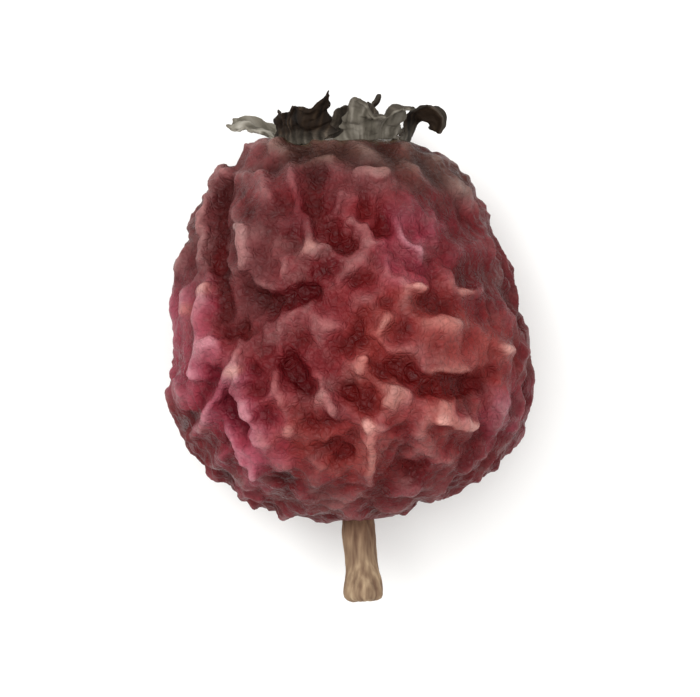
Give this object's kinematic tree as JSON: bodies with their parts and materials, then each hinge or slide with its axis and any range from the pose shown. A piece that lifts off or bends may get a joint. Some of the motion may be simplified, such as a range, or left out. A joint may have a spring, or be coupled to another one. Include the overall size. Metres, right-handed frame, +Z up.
{
  "type": "dried hawthorn berry",
  "caption": "Dried hawthorn berry lying on its side: a wrinkled dark red barrel-shaped fruit, with a short stem at one end and a crown of dark curled sepals round a small cup at the other.",
  "frame": {"origin": "on the resting surface, below the middle of the berry's bounding box", "axes": "+Y along the fruit's axis (turned by under 3 degrees) from the stem to the sepals, +Z up from the surface it lies on"},
  "size_m": [0.0084, 0.0114, 0.0077],
  "materials": {
    "skin": "satin",
    "bark": "matte",
    "dry_sepal": "matte",
    "dry_style": "matte"
  },
  "bodies": {
    "root": {"fruit": "skin", "stem": "bark", "style_stub": "dry_style", "sepal_1": "dry_sepal", "sepal_2": "dry_sepal", "sepal_3": "dry_sepal", "sepal_4": "dry_sepal", "sepal_5": "dry_sepal"}
  },
  "joints": []
}
